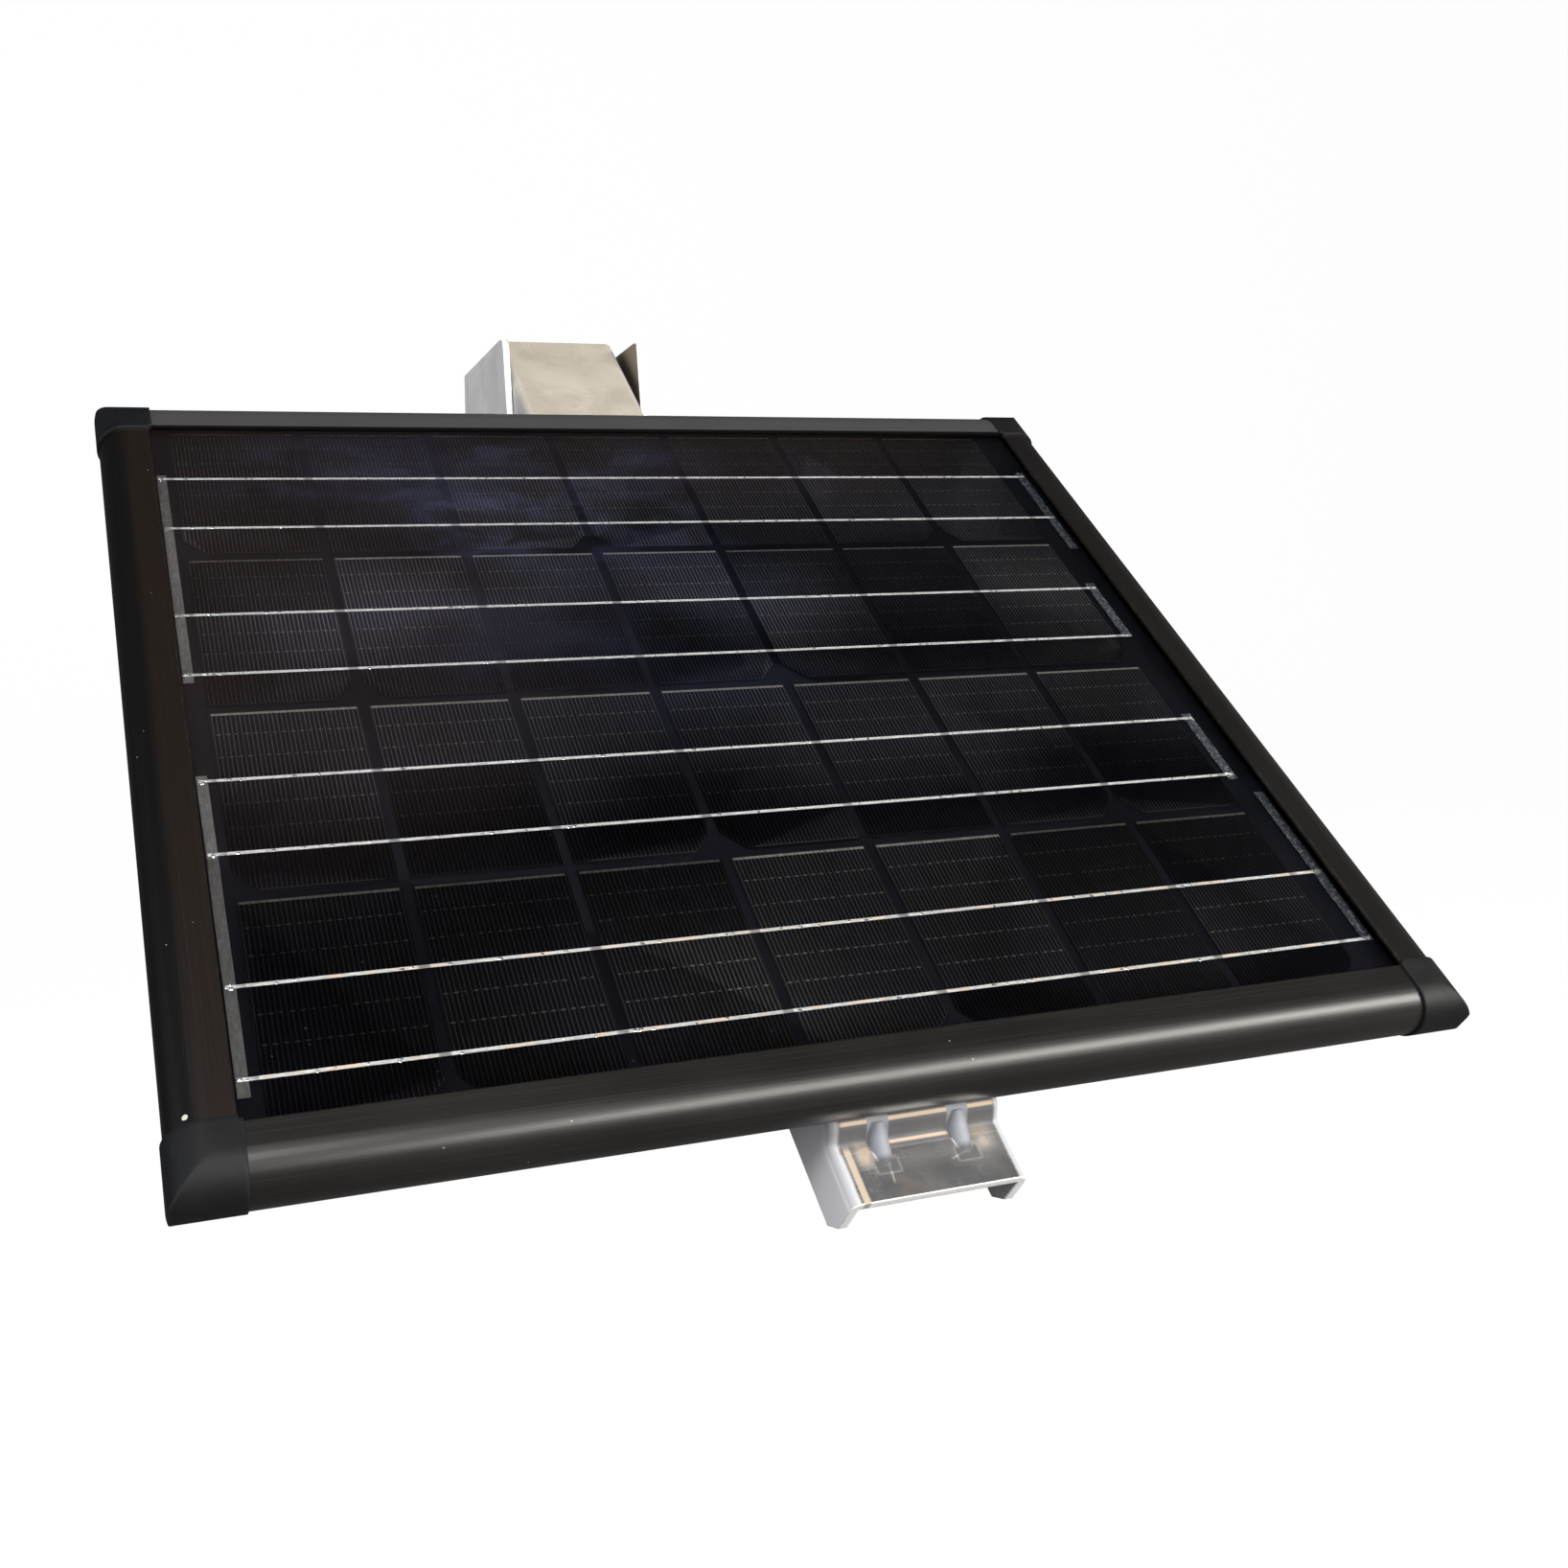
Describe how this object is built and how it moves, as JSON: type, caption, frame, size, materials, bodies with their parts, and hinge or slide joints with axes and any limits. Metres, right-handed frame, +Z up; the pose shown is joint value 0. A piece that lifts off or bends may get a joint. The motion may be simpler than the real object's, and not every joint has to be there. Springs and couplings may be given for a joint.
{
  "type": "pole-mounted solar panel",
  "caption": "Small framed solar panel on a tilting side-of-pole bracket with a pivot bolt and an arc-slot tilt lock.",
  "frame": {"origin": "centre of the pole bracket's back face, where it meets the pole", "axes": "+X to the right seen from the front, +Y out of the bracket's back towards the pole, +Z up along the pole; the panel hangs in front, tilted 40 degrees from horizontal at rest"},
  "size_m": [0.4506, 0.4174, 0.3182],
  "materials": {
    "anodised_black": "satin black anodised",
    "cap_black": "matte",
    "glass": "clear low-iron, lightly smeared",
    "encapsulant": "clear",
    "cell": "near black with printed fingers",
    "ribbon": "tinned copper ribbon",
    "backsheet": "dark",
    "sealant": "matte",
    "bracket_metal": "brushed, lightly scratched",
    "steel": "bright zinc",
    "box_plastic": "matte",
    "rubber": "matte",
    "copper": "tinned",
    "nylon": "translucent white"
  },
  "bodies": {
    "pole_mount": {"pole_bracket": "bracket_metal", "pivot_bolt": "steel", "pivot_washers": "steel", "pivot_nut": "steel"},
    "panel": {"rail_left": "anodised_black", "rail_right": "anodised_black", "rail_front": "anodised_black", "rail_rear": "anodised_black", "cap_front_left": "cap_black", "cap_front_right": "cap_black", "cap_rear_left": "cap_black", "cap_rear_right": "cap_black", "glass": "glass", "encapsulant_front": "encapsulant", "encapsulant_rear": "encapsulant", "cells_row_1": "cell", "cells_row_2": "cell", "cells_row_3": "cell", "cells_row_4": "cell", "tabbing_row_1": "ribbon", "tabbing_row_2": "ribbon", "tabbing_row_3": "ribbon", "tabbing_row_4": "ribbon", "bus_ribbons_left": "ribbon", "bus_ribbons_right": "ribbon", "backsheet": "backsheet", "edge_sealant": "sealant", "junction_box_adhesive": "sealant", "junction_box_base": "box_plastic", "junction_box_lid": "box_plastic", "junction_box_seal": "rubber", "junction_box_screws": "steel", "junction_terminals": "copper", "bypass_diodes": "box_plastic", "cable_gland": "box_plastic", "cable": "rubber", "cable_plug": "box_plastic", "panel_bracket": "bracket_metal", "bracket_screws": "steel", "bracket_washers": "steel", "pivot_spacers": "nylon", "lock_bolt": "steel", "lock_washers": "steel", "lock_wing_nut": "steel"}
  },
  "joints": [
    {"name": "tilt", "type": "hinge", "parent": "pole_mount", "child": "panel", "pos_m": [0, -0.06342, 0.01815], "axis": [1, 0, 0], "range_deg": [-30, 30]}
  ]
}
